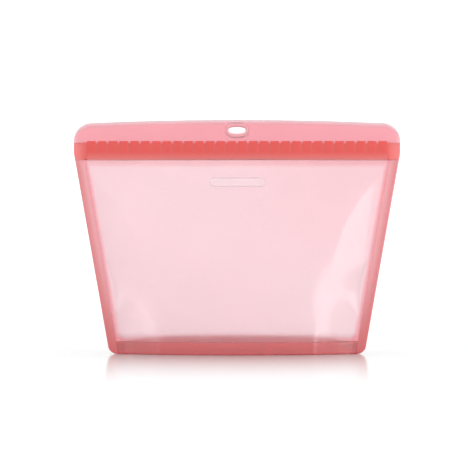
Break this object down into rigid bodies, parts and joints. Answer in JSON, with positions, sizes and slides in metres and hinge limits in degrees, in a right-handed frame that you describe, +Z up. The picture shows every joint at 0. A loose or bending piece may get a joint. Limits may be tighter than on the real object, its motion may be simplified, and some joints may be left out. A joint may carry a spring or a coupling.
{
  "type": "reusable silicone bag",
  "caption": "Stand-up reusable food storage bag in translucent silicone, with a press-together zip across its wide mouth, two pull lips, a hanging slot and a folding base.",
  "frame": {"origin": "middle of the footprint at the height of the surface the bag stands on", "axes": "+X along the mouth, to the right as the front wall is seen; +Y from the front wall to the back wall; +Z up"},
  "size_m": [0.27, 0.077, 0.193],
  "materials": {
    "translucent_wall": "translucent, soft satin",
    "dense_border": "translucent, soft satin, thicker",
    "lip_pink": "translucent, soft satin",
    "zip_red": "satin"
  },
  "bodies": {
    "foot": {"front_base_rim": "dense_border", "back_base_rim": "dense_border", "front_gusset": "translucent_wall", "back_gusset": "translucent_wall", "left_gusset_corner": "dense_border", "right_gusset_corner": "dense_border", "left_side_seam": "dense_border", "right_side_seam": "dense_border", "left_zip_end": "zip_red", "right_zip_end": "zip_red"},
    "front_wall": {"front_panel": "translucent_wall", "front_badge": "translucent_wall", "front_zip_band": "zip_red", "front_grip_ribs": "zip_red", "upper_zip_bead": "zip_red", "lower_zip_bead": "zip_red", "front_lip": "lip_pink", "front_slot_collar": "lip_pink"},
    "back_wall": {"back_panel": "translucent_wall", "back_zip_band": "zip_red", "back_grip_ribs": "zip_red", "upper_zip_channel": "zip_red", "lower_zip_channel": "zip_red", "back_lip": "lip_pink", "back_slot_collar": "lip_pink"},
    "crease": {"gusset_fold": "dense_border"}
  },
  "joints": [
    {"name": "front_opens", "type": "hinge", "parent": "foot", "child": "front_wall", "pos_m": [0, -0.0385, 0.0104], "axis": [1, 0, 0], "range_deg": [0, 11]},
    {"name": "back_opens", "type": "hinge", "parent": "foot", "child": "back_wall", "pos_m": [0, 0.0385, 0.0104], "axis": [1, 0, 0], "range_deg": [-11, 0]},
    {"name": "base_folds", "type": "slide", "parent": "foot", "child": "crease", "axis": [0, 0, 1], "range_m": [0, 0.028]}
  ],
  "couplings": [
    {"joint": "back_opens", "follows": "front_opens", "ratio": -1}
  ]
}
